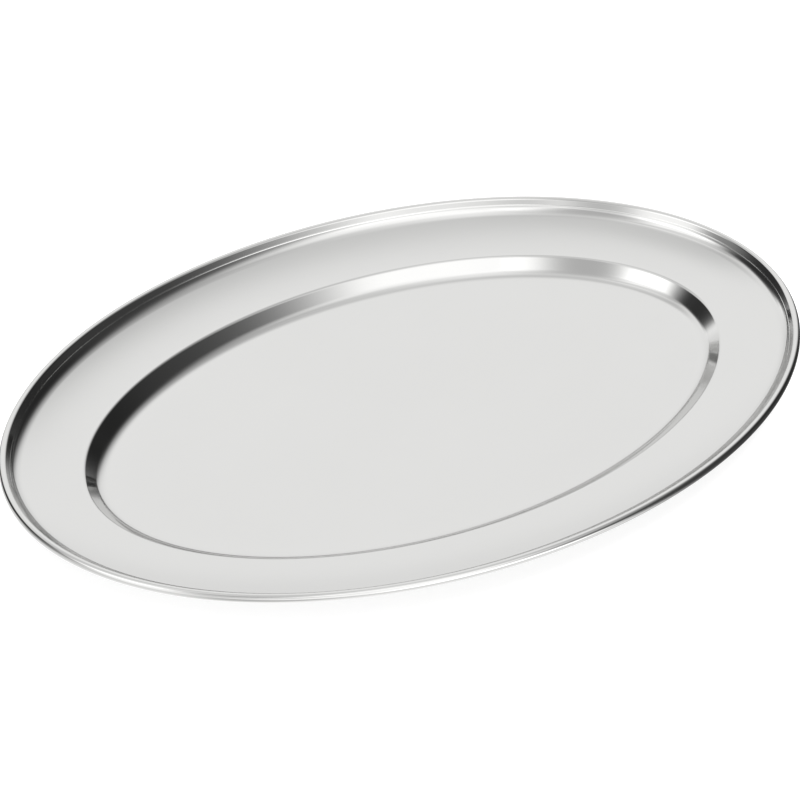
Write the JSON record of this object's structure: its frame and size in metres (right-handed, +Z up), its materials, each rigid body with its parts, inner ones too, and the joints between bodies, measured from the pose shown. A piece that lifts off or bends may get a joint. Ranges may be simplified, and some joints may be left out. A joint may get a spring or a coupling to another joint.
{
  "type": "serving tray",
  "caption": "Shallow oval metal serving tray with a sunken flat well, a wide gently dished rim and a rolled outer edge.",
  "frame": {"origin": "middle of the flat underside, on the plane the tray rests on", "axes": "+X along the length, +Y along the width, +Z up out of the well"},
  "size_m": [0.45, 0.302, 0.023],
  "materials": {
    "sheet": "polished pressed stainless steel sheet, soft sheen with fine wear marks"
  },
  "bodies": {
    "root": {"tray_shell": "sheet"}
  },
  "joints": []
}
